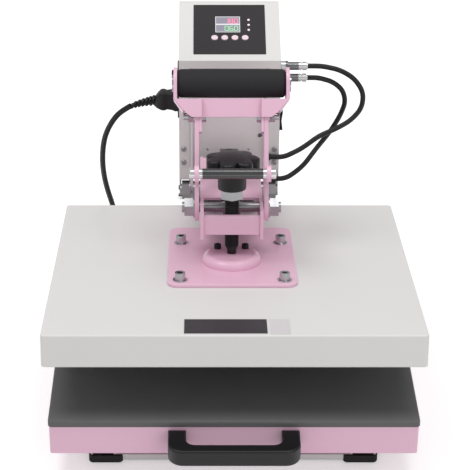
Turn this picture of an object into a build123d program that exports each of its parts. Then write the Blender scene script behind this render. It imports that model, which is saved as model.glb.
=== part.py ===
# Slide-out heat press, built as separate named pieces.
# Millimetres, +Z up. The press faces -Y, the origin is on the table under the middle of its length.
from build123d import *
from math import atan2, cos, degrees, dist, pi, radians, sin, tan
import os

os.makedirs("parts", exist_ok=True)

# Driving dimensions
press_width = 400.0        # width of the hot head, the widest thing on the press
base_depth = 492.0         # front of the side rails to their rear ends
casing_back_y = 497.0      # rear of the control casing, measured from the front of the rails
tray_out = 17.0            # how far the tray stands out of its home place in the rest pose
tray_reach = 240.0         # how far the tray can be pulled out from the rest pose
open_tilt = 8.4            # degrees the head is raised in the rest pose
lever_swing = 68.0         # degrees the lever turns against the arm as it closes
lever_lean = 21.6          # degrees the lever leans back from square to the arm
screw_travel = 4.0         # how far the pressure screw can lift the head
arm_pivot_y = 395.0
arm_pivot_z = 124.4
pivot_over_head = 17.0     # arm pivot above the top of the head
pivot_behind = 208.9       # arm pivot behind the pressure screw
head_height = 36.0
closing_gap = 0.4          # head to pad with the press shut and nothing in it
body_gap = 0.3             # between pieces of different bodies
shaft_gap = 0.05           # radial clearance of a shaft in its bore
sheet = 2.0

# Where the origin is: midway between the front of the tray handle and the rear of the casing
pad_size = 390.0
pad_thickness = 8.5
pad_home_y = arm_pivot_y - pivot_behind - pad_size / 2
tray_size = pad_size - 2.0
tray_front_y = pad_home_y - tray_out + 1.0
handle_reach = 40.0
y0 = -(casing_back_y + tray_front_y - handle_reach) / 2

# The head plane: middle of the pressure screw on top of the head, tilted with the arm
tilt = radians(open_tilt)
head_y = arm_pivot_y + y0 - pivot_behind * cos(tilt) - pivot_over_head * sin(tilt)
head_z = arm_pivot_z + pivot_behind * sin(tilt) - pivot_over_head * cos(tilt)
head = Plane(origin=(0, head_y, head_z), x_dir=(1, 0, 0), z_dir=(0, sin(tilt), cos(tilt)))
head_side = Plane(origin=(0, head_y, head_z), x_dir=(0, cos(tilt), -sin(tilt)), z_dir=(1, 0, 0))
side = Plane(origin=(0, y0, 0), x_dir=(0, 1, 0), z_dir=(1, 0, 0))

# The lever plane: its pivot, with z along the lever
lever_k = 27.0
lever_t = 59.0
lever_y = head_y + lever_k * cos(tilt) + lever_t * sin(tilt)
lever_z = head_z - lever_k * sin(tilt) + lever_t * cos(tilt)
lean = radians(lever_lean + open_tilt)
lever = Plane(origin=(0, lever_y, lever_z), x_dir=(1, 0, 0), z_dir=(0, sin(lean), cos(lean)))
lever_face = Plane(origin=(0, lever_y, lever_z), x_dir=(1, 0, 0), z_dir=(0, -cos(lean), sin(lean)))
lever_side = Plane(origin=(0, lever_y, lever_z), x_dir=(0, cos(lean), -sin(lean)), z_dir=(1, 0, 0))


# The toggle: crank length and link swing that carry the lever from open to just past its dead point
def turned(point, angle):
    """Turn a (y, z) pair by an angle in radians."""
    y, z = point
    return (y * cos(angle) - z * sin(angle), y * sin(angle) + z * cos(angle))


link_rear_y = 440.0
link_rear_z = 205.0
past_dead_point = 3.0
pivot = (arm_pivot_y + y0, arm_pivot_z)
rear_pin = (link_rear_y + y0, link_rear_z)
open_lever = (lever_y, lever_z)
arm_to_lever = (lever_y - pivot[0], lever_z - pivot[1])
shut_lever = tuple(a + b for a, b in zip(pivot, turned(arm_to_lever, tilt)))
open_run = (rear_pin[0] - open_lever[0], rear_pin[1] - open_lever[1])
shut_run = (rear_pin[0] - shut_lever[0], rear_pin[1] - shut_lever[1])
shut_angle = atan2(shut_run[1], shut_run[0]) + radians(past_dead_point)
open_angle = shut_angle - radians(lever_swing) - tilt
open_way = (cos(open_angle), sin(open_angle))
shut_way = (cos(shut_angle), sin(shut_angle))
longer = shut_run[0] ** 2 + shut_run[1] ** 2 - open_run[0] ** 2 - open_run[1] ** 2
shut_dot = shut_run[0] * shut_way[0] + shut_run[1] * shut_way[1]
open_dot = open_run[0] * open_way[0] + open_run[1] * open_way[1]
crank = longer / (2 * (shut_dot - open_dot))
crank_pin = (lever_y + crank * open_way[0], lever_z + crank * open_way[1])
shut_pin = (shut_lever[0] + crank * shut_way[0], shut_lever[1] + crank * shut_way[1])
link_open = atan2(crank_pin[1] - rear_pin[1], crank_pin[0] - rear_pin[0])
link_shut = atan2(shut_pin[1] - rear_pin[1], shut_pin[0] - rear_pin[0])
link_swing = degrees(link_shut - link_open) % 360
print(f"origin is {-y0:.2f} behind the front of the rails")
print(f"head plane at y {head_y:.3f} z {head_z:.3f}, lever pivot y {lever_y:.3f} z {lever_z:.3f}")
print(f"crank {crank:.3f}, pin y {crank_pin[0]:.3f} z {crank_pin[1]:.3f}, link swing {link_swing:.4f}")

# Base
rail_inner = 126.0
rail_outer = 153.0
rail_bottom = 2.5
rail_top = 27.3
with BuildPart() as side_rails:
    for x in (-rail_outer, rail_inner):
        with BuildSketch(Plane.XZ.offset(-y0)):
            with Locations((x, rail_bottom)):
                Rectangle(rail_outer - rail_inner, rail_top - rail_bottom, align=(Align.MIN, Align.MIN))
            with Locations((x + sheet, rail_bottom)):
                Rectangle(
                    rail_outer - rail_inner - 2 * sheet,
                    rail_top - rail_bottom - sheet,
                    align=(Align.MIN, Align.MIN),
                    mode=Mode.SUBTRACT,
                )
        extrude(amount=-base_depth)
side_rails.part.label = "side_rails"

with BuildPart() as front_rail:
    with Locations((0, y0, rail_bottom)):
        Box(2 * rail_inner, 25, 7, align=(Align.CENTER, Align.MIN, Align.MIN))
    with Locations((0, y0 + sheet, rail_bottom)):
        Box(
            2 * rail_inner,
            25 - 2 * sheet,
            7 - sheet,
            align=(Align.CENTER, Align.MIN, Align.MIN),
            mode=Mode.SUBTRACT,
        )
front_rail.part.label = "front_rail"

rear_plate_front = 386.0
rear_plate_top = rail_top + 5.0
with BuildPart() as rear_plate:
    with Locations((0, y0 + rear_plate_front, rail_top)):
        Box(2 * rail_outer, base_depth - rear_plate_front, 5, align=(Align.CENTER, Align.MIN, Align.MIN))
    fillet(rear_plate.edges().filter_by(Axis.Z), 6)
rear_plate.part.label = "rear_plate"

foot_height = 9.7
with BuildPart() as rubber_feet:
    for x in (-1, 1):
        for y in (y0 - 3, y0 + base_depth - 32):
            with Locations((x * 136.5, y, 0)):
                Box(37, 35, foot_height, align=(Align.CENTER, Align.MIN, Align.MIN))
    fillet(rubber_feet.edges().filter_by(Axis.Z), 5)
    fillet(rubber_feet.faces().filter_by(Axis.Z).group_by(Axis.Z)[0].edges(), 2)
    with Locations((0, y0, rail_bottom)):
        Box(
            2 * rail_outer,
            base_depth,
            20,
            align=(Align.CENTER, Align.MIN, Align.MIN),
            mode=Mode.SUBTRACT,
        )
rubber_feet.part.label = "rubber_feet"

# Drawer slides, one pair on the inner faces of the rails
slide_rear = 380.0
slide_front = 34.0


def channel(x_web, x_open, z_low, z_high, wall):
    """Outline of a channel on its side, the web at x_web and the mouth at x_open."""
    inward = wall if x_open > x_web else -wall
    return [
        (x_web, z_low),
        (x_open, z_low),
        (x_open, z_low + wall),
        (x_web + inward, z_low + wall),
        (x_web + inward, z_high - wall),
        (x_open, z_high - wall),
        (x_open, z_high),
        (x_web, z_high),
    ]


slide_plane = Plane.XZ.offset(-(y0 + slide_front))
slide_length = slide_rear - slide_front
with BuildPart() as slide_outer:
    for s in (-1, 1):
        with BuildSketch(slide_plane):
            Polygon(*channel(s * rail_inner, s * 117.2, 10.2, 27.0, 1.2), align=None)
        extrude(amount=-slide_length)
slide_outer.part.label = "slide_outer"

middle_start = slide_front - tray_out / 2
with BuildPart() as slide_middle:
    for s in (-1, 1):
        with BuildSketch(Plane.XZ.offset(-(y0 + middle_start))):
            Polygon(*channel(s * 124.4, s * 117.2, 11.8, 25.4, 1.2), align=None)
        extrude(amount=-slide_length + tray_out)
slide_middle.part.label = "slide_middle"

# The tray runs on the slides, shown pulled out by tray_out
tray_bottom = 29.2
pad_top = arm_pivot_z - pivot_over_head - head_height - closing_gap
tray_top = pad_top - pad_thickness
inner_start = slide_front - tray_out
with BuildPart() as slide_inner:
    for s in (-1, 1):
        with BuildSketch(Plane.XZ.offset(-(y0 + inner_start))):
            Polygon(
                (s * 115.6, 13.4),
                (s * 122.8, 13.4),
                (s * 122.8, 14.6),
                (s * 116.8, 14.6),
                (s * 116.8, 22.6),
                (s * 122.8, 22.6),
                (s * 122.8, 23.8),
                (s * 116.8, 23.8),
                (s * 116.8, tray_bottom),
                (s * 100, tray_bottom),
                (s * 100, tray_bottom - 1.2),
                (s * 115.6, tray_bottom - 1.2),
                align=None,
            )
        extrude(amount=-slide_length + 2 * tray_out)
slide_inner.part.label = "slide_inner"

tray_middle_y = y0 + tray_front_y + tray_size / 2
with BuildPart() as tray:
    with Locations((0, tray_middle_y, tray_bottom)):
        Box(tray_size, tray_size, tray_top - tray_bottom, align=(Align.CENTER, Align.CENTER, Align.MIN))
    fillet(tray.edges().filter_by(Axis.Z), 3)
    with Locations((0, tray_middle_y + sheet, tray_bottom + sheet)):
        Box(
            tray_size - 2 * sheet,
            tray_size,
            tray_top - tray_bottom - 2 * sheet,
            align=(Align.CENTER, Align.CENTER, Align.MIN),
            mode=Mode.SUBTRACT,
        )
tray.part.label = "tray"

with BuildPart() as silicone_pad:
    with Locations((0, tray_middle_y, tray_top)):
        Box(pad_size, pad_size, pad_thickness, align=(Align.CENTER, Align.CENTER, Align.MIN))
    fillet(silicone_pad.edges().filter_by(Axis.Z), 6)
    fillet(silicone_pad.faces().sort_by(Axis.Z)[-1].edges(), 1)
silicone_pad.part.label = "silicone_pad"

handle_width = 138.0
handle_low = tray_top - 22.0
with BuildPart() as tray_handle:
    with BuildSketch(Plane.XY.offset(handle_low)):
        with Locations((0, y0 + tray_front_y)):
            Rectangle(handle_width, handle_reach, align=(Align.CENTER, Align.MAX))
    extrude(amount=19)
    fillet(tray_handle.edges().filter_by(Axis.Z).group_by(Axis.Y)[0], 16)
    with BuildSketch(Plane.XY.offset(handle_low)):
        with Locations((0, y0 + tray_front_y)):
            RectangleRounded(handle_width - 38, 2 * handle_reach - 28, 10)
    extrude(amount=19, mode=Mode.SUBTRACT)
    fillet(tray_handle.faces().filter_by(Axis.Z).edges(), 2.5)
tray_handle.part.label = "tray_handle"

# Tower: two side plates joined by a web, welded to the rear plate
tower_inner = 44.3
tower_outer = 47.4
tower_front = 388.0
tower_back = 460.0
tower_top = 285.0
web_front = 400.0
with BuildPart() as tower:
    for x in (-tower_outer, tower_inner):
        with BuildSketch(side.offset(x)):
            Polygon(
                (tower_front, rear_plate_top),
                (tower_front, tower_top - 12),
                (tower_front + 12, tower_top),
                (tower_back, tower_top),
                (tower_back, rear_plate_top),
                align=None,
            )
            with Locations((arm_pivot_y, arm_pivot_z), (link_rear_y, link_rear_z)):
                Circle(7 + shaft_gap, mode=Mode.SUBTRACT)
        extrude(amount=tower_outer - tower_inner)
    with BuildSketch(Plane.XZ.offset(-(y0 + web_front))):
        with Locations((0, 150)):
            Rectangle(2 * tower_inner, tower_top - 150, align=(Align.CENTER, Align.MIN))
        with Locations((0, 150)):
            Rectangle(22, 28, align=(Align.CENTER, Align.MIN), mode=Mode.SUBTRACT)
        with Locations((37.6, 196)):
            Circle(3, mode=Mode.SUBTRACT)
        with Locations((-26.4, 177), (23.6, 177)):
            Circle(1.4, mode=Mode.SUBTRACT)
    extrude(amount=-3)
    for s in (-1, 1):
        with Locations((s * (tower_outer + 14), y0 + 428, rear_plate_top)):
            Box(28, 64, 4, align=(Align.CENTER, Align.CENTER, Align.MIN))
        with Locations((s * (tower_outer + 5.5), y0 + 400.3, 170)):
            Box(11, 2.6, 34)
tower.part.label = "tower"

# Control casing: a folded front with a sloping panel, and a flat rear cover
casing_half = 61.0
casing_front_y = 397.0
casing_bottom = 113.0
panel_low = 296.0
panel_slope = radians(20)
back_cover = 2.0
casing_rear = casing_back_y - back_cover
casing_high = panel_low + (casing_rear - casing_front_y) * tan(panel_slope)
drop = sheet / cos(panel_slope)
panel = Plane(
    origin=(0, y0 + casing_front_y, panel_low),
    x_dir=(1, 0, 0),
    z_dir=(0, -sin(panel_slope), cos(panel_slope)),
)
up_panel = (casing_rear - casing_front_y) / 98.0    # 1 for this press: places on the panel follow its depth
lamp_places = [(23.4, v * up_panel) for v in (71.3, 62.3, 53.4)]
display_place = (-2.0, 63.6 * up_panel)
display_deep = 28.2 * up_panel
button_places = [(x, 39.4 * up_panel) for x in (-18.0, -5.8, 6.5, 18.8)]
socket_places = [(430.0, 275.0), (430.0, 259.6)]
inlet_y = 445.0
inlet_z = 224.0
fuse_z = 257.0
rocker_y = 440.0
rocker_z = 199.6
with BuildPart() as casing_front:
    with BuildSketch(side.offset(-casing_half)):
        Polygon(
            (casing_front_y, casing_bottom),
            (casing_front_y, panel_low),
            (casing_rear, casing_high),
            (casing_rear, casing_bottom),
            align=None,
        )
    extrude(amount=2 * casing_half)
    with BuildSketch(side.offset(-casing_half + sheet)):
        Polygon(
            (casing_front_y + sheet, casing_bottom - 5),
            (casing_front_y + sheet, panel_low - drop + sheet * tan(panel_slope)),
            (casing_rear + 5, casing_high - drop + 5 * tan(panel_slope)),
            (casing_rear + 5, casing_bottom - 5),
            align=None,
        )
    extrude(amount=2 * casing_half - 2 * sheet, mode=Mode.SUBTRACT)
    with Locations((0, y0 + casing_front_y + 1, casing_bottom - 5)):
        Box(
            2 * (tower_outer + 0.4),
            10,
            tower_top + 1 - casing_bottom + 5,
            align=(Align.CENTER, Align.CENTER, Align.MIN),
            mode=Mode.SUBTRACT,
        )
    with BuildSketch(side.offset(-70)):
        with Locations((arm_pivot_y, arm_pivot_z)):
            Circle(13)
    extrude(amount=140, mode=Mode.SUBTRACT)
    with BuildSketch(side.offset(casing_half - 5)):
        for y, z in socket_places:
            with Locations((y, z)):
                Circle(5.2)
        with Locations((rocker_y, rocker_z)):
            Rectangle(18.6, 29.6)
    extrude(amount=10, mode=Mode.SUBTRACT)
    with BuildSketch(side.offset(-casing_half - 5)):
        with Locations((inlet_y, inlet_z)):
            Rectangle(24.6, 30.6)
        with Locations((inlet_y, fuse_z)):
            Circle(7.6)
    extrude(amount=10, mode=Mode.SUBTRACT)
    with BuildSketch(panel.offset(-5)):
        with Locations(display_place):
            Rectangle(30.6, display_deep + 0.6)
        with Locations(*lamp_places):
            Circle(1.6)
        with Locations(*button_places):
            Circle(4.4)
    extrude(amount=10, mode=Mode.SUBTRACT)
casing_front.part.label = "casing_front"

with BuildPart() as casing_back:
    with BuildSketch(side.offset(-casing_half)):
        Polygon(
            (casing_rear, casing_bottom),
            (casing_rear, casing_high),
            (casing_back_y, casing_high + back_cover * tan(panel_slope)),
            (casing_back_y, casing_bottom),
            align=None,
        )
    extrude(amount=2 * casing_half)
    with BuildSketch(Plane.XZ.offset(-(y0 + casing_rear - 1))):
        with Locations((0, 160)):
            with GridLocations(0, 9, 1, 7):
                SlotOverall(64, 4)
    extrude(amount=-6, mode=Mode.SUBTRACT)
casing_back.part.label = "casing_back"

front_screws = Plane.XZ.offset(-(y0 + casing_front_y))
with BuildPart() as casing_screws:
    for x in (-55.5, 55.5):
        for z in (161, 179):
            with BuildSketch(front_screws):
                with Locations((x, z)):
                    Circle(3.4)
            extrude(amount=2)
    fillet(casing_screws.faces().sort_by(Axis.Y)[:4].edges(), 1.2)
    for x in (-55.5, 55.5):
        for z in (161, 179):
            with BuildSketch(front_screws.offset(2)):
                with Locations((x, z)):
                    Rectangle(3.6, 0.8)
                    Rectangle(0.8, 3.6)
            extrude(amount=-1.2, mode=Mode.SUBTRACT)
casing_screws.part.label = "casing_screws"

with BuildPart() as control_label:
    with BuildSketch(panel):
        with Locations((0, 55.2 * up_panel)):
            RectangleRounded(87, 88 * up_panel, 1)
        with Locations(display_place):
            Rectangle(30.6, display_deep + 0.6, mode=Mode.SUBTRACT)
        with Locations(*lamp_places):
            Circle(1.6, mode=Mode.SUBTRACT)
        with Locations(*button_places):
            Circle(4.4, mode=Mode.SUBTRACT)
    extrude(amount=0.5)
control_label.part.label = "control_label"

with BuildPart() as display_window:
    with BuildSketch(panel.offset(-5.5)):
        with Locations(display_place):
            Rectangle(30, display_deep)
    extrude(amount=6.2)
    fillet(display_window.faces().sort_by(Axis.Z)[-1].edges(), 0.3)
display_window.part.label = "display_window"

with BuildPart() as indicator_lamps:
    with BuildSketch(panel.offset(-5)):
        with Locations(*lamp_places):
            Circle(1.5)
    extrude(amount=6.2)
indicator_lamps.part.label = "indicator_lamps"

buttons = []
for number, (bx, by) in enumerate(button_places, 1):
    with BuildPart() as button:
        with BuildSketch(panel.offset(-3.2)):
            with Locations((bx, by)):
                Circle(4.8)
        extrude(amount=0.7)
        with BuildSketch(panel.offset(-3.2)):
            with Locations((bx, by)):
                Circle(4.0)
        extrude(amount=4.8)
    button.part.label = f"button_{number}"
    buttons.append(button.part)

with BuildPart() as control_board:
    with BuildSketch(panel.offset(-12)):
        with Locations((0, 55 * up_panel)):
            Rectangle(96, 84 * up_panel)
    extrude(amount=1.6)
    with BuildSketch(panel.offset(-10.4)):
        with Locations((0, 55 * up_panel)):
            with GridLocations(90, 84 * up_panel - 6, 2, 2):
                Circle(2.5)
    extrude(amount=8.4)
    with BuildSketch(panel.offset(-12)):
        with Locations((-30, 35 * up_panel)):
            Rectangle(20, 26)
        with Locations((20, 40 * up_panel)):
            Rectangle(30, 14)
        with Locations((-5, 80 * up_panel)):
            Rectangle(14, 14)
    extrude(amount=-9)
control_board.part.label = "control_board"

# Mains inlet on the left wall with its fuse holder
with BuildPart() as inlet_socket:
    with BuildSketch(side.offset(-casing_half - 2)):
        with Locations((inlet_y, (inlet_z + fuse_z) / 2 - 3)):
            RectangleRounded(30, 66, 3)
    extrude(amount=2)
    with BuildSketch(side.offset(-casing_half)):
        with Locations((inlet_y, inlet_z)):
            RectangleRounded(24, 30, 2)
        with Locations((inlet_y, fuse_z)):
            Circle(7.3)
    extrude(amount=6)
    with BuildSketch(side.offset(-casing_half - 2)):
        with Locations((inlet_y, inlet_z)):
            RectangleRounded(17, 23.6, 1.5)
        with Locations((inlet_y, fuse_z)):
            Circle(4.5 + shaft_gap)
    extrude(amount=6.6, mode=Mode.SUBTRACT)
inlet_socket.part.label = "inlet_socket"

with BuildPart() as fuse_cap:
    with BuildSketch(side.offset(-casing_half - 2 - body_gap)):
        with Locations((inlet_y, fuse_z)):
            Circle(6)
    extrude(amount=-7)
    chamfer(fuse_cap.faces().sort_by(Axis.X)[0].edges(), 1)
    with BuildSketch(side.offset(-casing_half - 2 - body_gap)):
        with Locations((inlet_y, fuse_z)):
            Circle(4.5)
    extrude(amount=6.5)
    with BuildSketch(side.offset(-casing_half - 2 - body_gap - 7)):
        with Locations((inlet_y, fuse_z)):
            Rectangle(7, 1.2)
    extrude(amount=1.5, mode=Mode.SUBTRACT)
fuse_cap.part.label = "fuse_cap"

# Rocker switch on the right wall, on two small pins in its frame
rocker_axis_x = casing_half - 1.0
with BuildPart() as rocker_frame:
    with BuildSketch(side.offset(casing_half)):
        with Locations((rocker_y, rocker_z)):
            RectangleRounded(22, 33, 2)
    extrude(amount=1.6)
    with BuildSketch(side.offset(casing_half - 6)):
        with Locations((rocker_y, rocker_z)):
            Rectangle(18, 29)
    extrude(amount=6)
    with BuildSketch(side.offset(casing_half - 6)):
        with Locations((rocker_y, rocker_z)):
            Rectangle(15.4, 27.4)
    extrude(amount=8, mode=Mode.SUBTRACT)
    with BuildSketch(Plane.XZ.offset(-(y0 + rocker_y - 8.8))):
        with Locations((rocker_axis_x, rocker_z)):
            Circle(1.6 + shaft_gap)
    extrude(amount=-17.6, mode=Mode.SUBTRACT)
rocker_frame.part.label = "rocker_frame"

rocker_tip = 12.0
rocker_rise = 5.0
with BuildPart() as rocker_switch:
    with BuildSketch(Plane.XZ.offset(-(y0 + rocker_y - 7.2))):
        Polygon(
            (rocker_axis_x - 4, rocker_z - 6),
            (rocker_axis_x - 4, rocker_z + 6),
            (rocker_axis_x, rocker_z + rocker_tip),
            (rocker_axis_x + rocker_rise + 1.6, rocker_z + rocker_tip),
            (rocker_axis_x + rocker_rise, rocker_z),
            (rocker_axis_x + rocker_rise + 1.6, rocker_z - rocker_tip),
            (rocker_axis_x, rocker_z - rocker_tip),
            align=None,
        )
    extrude(amount=-14.4)
    with BuildSketch(Plane.XZ.offset(-(y0 + rocker_y - 8.6))):
        with Locations((rocker_axis_x, rocker_z)):
            Circle(1.6)
    extrude(amount=-17.2)
rocker_switch.part.label = "rocker_switch"

# Cable sockets on the right wall, the plugs on them and the two leads
with BuildPart() as cable_sockets:
    for y, z in socket_places:
        with BuildSketch(side.offset(casing_half)):
            with Locations((y, z)):
                RegularPolygon(6.2, 6, rotation=30)
        extrude(amount=2)
        with BuildSketch(side.offset(casing_half - 10)):
            with Locations((y, z)):
                Circle(5)
        extrude(amount=10)
cable_sockets.part.label = "cable_sockets"

plug_end = 95.0
with BuildPart() as cable_plugs:
    for y, z in socket_places:
        for x_start, length, radius in ((63, 8, 6.2), (71, 16, 4.9), (87, 1.5, 4.0), (88.5, 5, 5.2), (93.5, 1.5, 3.4)):
            with BuildSketch(side.offset(x_start)):
                with Locations((y, z)):
                    Circle(radius)
            extrude(amount=length)
cable_plugs.part.label = "cable_plugs"


def smooth_path(points):
    """Tangent arcs of the widest radius that lets each pair share a straight run."""
    radii = []
    for before, here, after in zip(points, points[1:], points[2:]):
        first = Vector(here) - Vector(before)
        second = Vector(after) - Vector(here)
        turn = first.get_angle(second)
        radii.append(0.45 * min(first.length, second.length) / tan(radians(turn) / 2))
    return radii


def report_tube(name, part, path, diameter, radii):
    """Print how true a tube is to its section and path."""
    expected = pi * diameter**2 / 4 * path.length
    tightest = min(radii)
    print(f"{name}: length {path.length:.1f}, volume ratio {part.volume / expected:.4f}, bend {tightest:.1f}")
    print("   ", " ".join(f"{r:.0f}" for r in radii))


lead_diameter = 6.2
grommet_x = tower_outer + 3.0
heater_points = [
    (plug_end, y0 + 430, 275.0),
    (112, y0 + 430, 275.0),
    (134, y0 + 429, 270.5),
    (152, y0 + 426, 260.5),
    (163.5, y0 + 422, 243.5),
    (162.0, y0 + 418, 224.5),
    (148.5, y0 + 412, 210.5),
    (130, y0 + 407, 201.5),
    (110, y0 + 404, 193.8),
    (88, y0 + 396.5, 179.5),
    (67, y0 + 392.5, 170.5),
    (grommet_x, y0 + 392.5, 170.5),
]
sensor_points = [
    (plug_end, y0 + 430, 259.6),
    (108, y0 + 430, 259.6),
    (126, y0 + 431, 254.0),
    (139, y0 + 433, 242.0),
    (143.2, y0 + 435, 225.0),
    (137.5, y0 + 435, 207.0),
    (126, y0 + 431.5, 187.0),
    (110, y0 + 426, 168.0),
    (91, y0 + 405, 151.0),
    (70, y0 + 392.5, 140.8),
    (grommet_x, y0 + 392.5, 140.8),
]
heater_radii = smooth_path(heater_points)
sensor_radii = smooth_path(sensor_points)
with BuildPart() as heater_cable:
    with BuildLine() as heater_path:
        FilletPolyline(*heater_points, radius=heater_radii)
    with BuildSketch(Plane(origin=heater_points[0], z_dir=(1, 0, 0))):
        Circle(lead_diameter / 2)
    sweep()
heater_cable.part.label = "heater_cable"
report_tube("heater_cable", heater_cable.part, heater_path.wires()[0], lead_diameter, heater_radii)

with BuildPart() as sensor_cable:
    with BuildLine() as sensor_path:
        FilletPolyline(*sensor_points, radius=sensor_radii)
    with BuildSketch(Plane(origin=sensor_points[0], z_dir=(1, 0, 0))):
        Circle(lead_diameter / 2)
    sweep()
sensor_cable.part.label = "sensor_cable"
report_tube("sensor_cable", sensor_cable.part, sensor_path.wires()[0], lead_diameter, sensor_radii)

with BuildPart() as cable_grommets:
    for _, y, z in (heater_points[-1], sensor_points[-1]):
        with BuildSketch(Plane.YZ.offset(tower_outer)):
            with Locations((y, z)):
                Circle(4.2)
        extrude(amount=3)
    fillet(cable_grommets.faces().sort_by(Axis.X)[-2:].edges(), 0.8)
cable_grommets.part.label = "cable_grommets"

# Pivot bolts through the tower: the arm turns on one, the link on the other
nut_radius = 11.5
with BuildPart() as pivot_bolts:
    for y, z, reach in ((arm_pivot_y, arm_pivot_z, 60.0), (link_rear_y, link_rear_z, 54.0)):
        with BuildSketch(side.offset(-reach)):
            with Locations((y, z)):
                Circle(7)
        extrude(amount=2 * reach)
        for x, way in ((-tower_outer, -1), (tower_outer, 1)):
            with BuildSketch(side.offset(x)):
                with Locations((y, z)):
                    Circle(12.4 if reach > 55 else 9.5)
            extrude(amount=way * 1.4)
            with BuildSketch(side.offset(x + way * 1.4)):
                with Locations((y, z)):
                    RegularPolygon(nut_radius if reach > 55 else 8.6, 6)
            extrude(amount=way * (9 if reach > 55 else 5))
pivot_bolts.part.label = "pivot_bolts"

# Arm: two side plates, a slotted top plate, the nut block at the front and the pivot bushes
arm_inner = 31.3
arm_outer = 35.3
lever_shaft_radius = 6.0
beam_rear = 19.0
arm_front = -14.0
with BuildPart() as arm_side_plates:
    for x in (-arm_outer, arm_inner):
        with BuildSketch(head_side.offset(x)):
            Polygon(
                (arm_front, 35),
                (arm_front, 69),
                (180, 69),
                (pivot_behind + 10, 27),
                (pivot_behind, pivot_over_head),
                (pivot_behind - 1, 3.1),
                (60, 35),
                align=None,
            )
            with Locations((pivot_behind, pivot_over_head)):
                Circle(14)
            with Locations((pivot_behind, pivot_over_head)):
                Circle(10 + shaft_gap, mode=Mode.SUBTRACT)
            with Locations((lever_k, lever_t)):
                Circle(lever_shaft_radius + shaft_gap, mode=Mode.SUBTRACT)
        extrude(amount=arm_outer - arm_inner)
arm_side_plates.part.label = "arm_side_plates"

crank_slot = 22.0    # lets the two cheeks of the crank swing up through the plate
with BuildPart() as arm_top_plate:
    with BuildSketch(head.offset(66)):
        with Locations((0, 30)):
            Rectangle(2 * arm_inner, 146, align=(Align.CENTER, Align.MIN))
        with Locations((0, 30)):
            Rectangle(14, 78, align=(Align.CENTER, Align.MIN), mode=Mode.SUBTRACT)
        with Locations((0, 30)):
            Rectangle(crank_slot, 32, align=(Align.CENTER, Align.MIN), mode=Mode.SUBTRACT)
    extrude(amount=3)
arm_top_plate.part.label = "arm_top_plate"

screw_radius = 8.0
with BuildPart() as front_beam:
    with BuildSketch(head.offset(40)):
        with Locations((0, -12)):
            Rectangle(2 * arm_inner, beam_rear + 12, align=(Align.CENTER, Align.MIN))
        Circle(screw_radius + shaft_gap, mode=Mode.SUBTRACT)
    extrude(amount=12.5)
    with BuildSketch(head_side.offset(-arm_inner)):
        Polygon((-12, 40), (-12, 62.5), (-8, 62.5), (-8, 40), align=None)
    extrude(amount=2 * arm_inner)
    fillet(front_beam.edges().filter_by(Axis.X).group_by(Axis.Z)[-1].sort_by(Axis.Y)[0], 3)
    with BuildSketch(head.offset(52)):
        Circle(screw_radius + shaft_gap)
    extrude(amount=12, mode=Mode.SUBTRACT)
front_beam.part.label = "front_beam"

with BuildPart() as arm_bushes:
    bush_end = tower_inner - body_gap
    with BuildSketch(head_side.offset(-bush_end)):
        with Locations((pivot_behind, pivot_over_head)):
            Circle(10)
            Circle(7 + shaft_gap, mode=Mode.SUBTRACT)
    extrude(amount=2 * bush_end)
arm_bushes.part.label = "arm_bushes"

# Lever: two long plates, the bent head that carries the grip, the crank shaft and the stop bar
lever_inner = 36.6
lever_outer = 41.6
bolt_height = 102.7
grip_height = 140.3
bar_forward = 85.7
bar_height = 33.1
with BuildPart() as lever_plates:
    for x in (-lever_outer, lever_inner):
        with BuildSketch(lever_side.offset(x)):
            with Locations((0, 0)):
                Rectangle(31, 109, align=(Align.CENTER, Align.MIN))
                Circle(15.5)
            with Locations((-bar_forward, bar_height)):
                Circle(9)
                Rectangle(bar_forward, 12, align=(Align.MIN, Align.CENTER))
            with Locations((0, 0)):
                Circle(lever_shaft_radius + shaft_gap, mode=Mode.SUBTRACT)
            with Locations((0, bolt_height)):
                Circle(4 + shaft_gap, mode=Mode.SUBTRACT)
            with Locations((-bar_forward, bar_height)):
                Circle(5.8 + shaft_gap, mode=Mode.SUBTRACT)
        extrude(amount=lever_outer - lever_inner)
lever_plates.part.label = "lever_plates"

with BuildPart() as stop_bar:
    with BuildSketch(lever_side.offset(-47)):
        with Locations((-bar_forward, bar_height)):
            Circle(5.8)
    extrude(amount=94)
    chamfer(stop_bar.faces().filter_by(Axis.X).edges(), 0.8)
stop_bar.part.label = "stop_bar"

# The crank on the lever shaft, in lever coordinates: back and up from the shaft
pin_v = (crank_pin[0] - lever_y) * cos(lean) - (crank_pin[1] - lever_z) * sin(lean)
pin_s = (crank_pin[0] - lever_y) * sin(lean) + (crank_pin[1] - lever_z) * cos(lean)
crank_pin_radius = 4.0


def strip(start, end, half):
    """Corners of a straight strip of a given half width between two points."""
    length = dist(start, end)
    across = ((start[1] - end[1]) / length * half, (end[0] - start[0]) / length * half)
    return [
        (start[0] + across[0], start[1] + across[1]),
        (start[0] - across[0], start[1] - across[1]),
        (end[0] - across[0], end[1] - across[1]),
        (end[0] + across[0], end[1] + across[1]),
    ]


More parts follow.
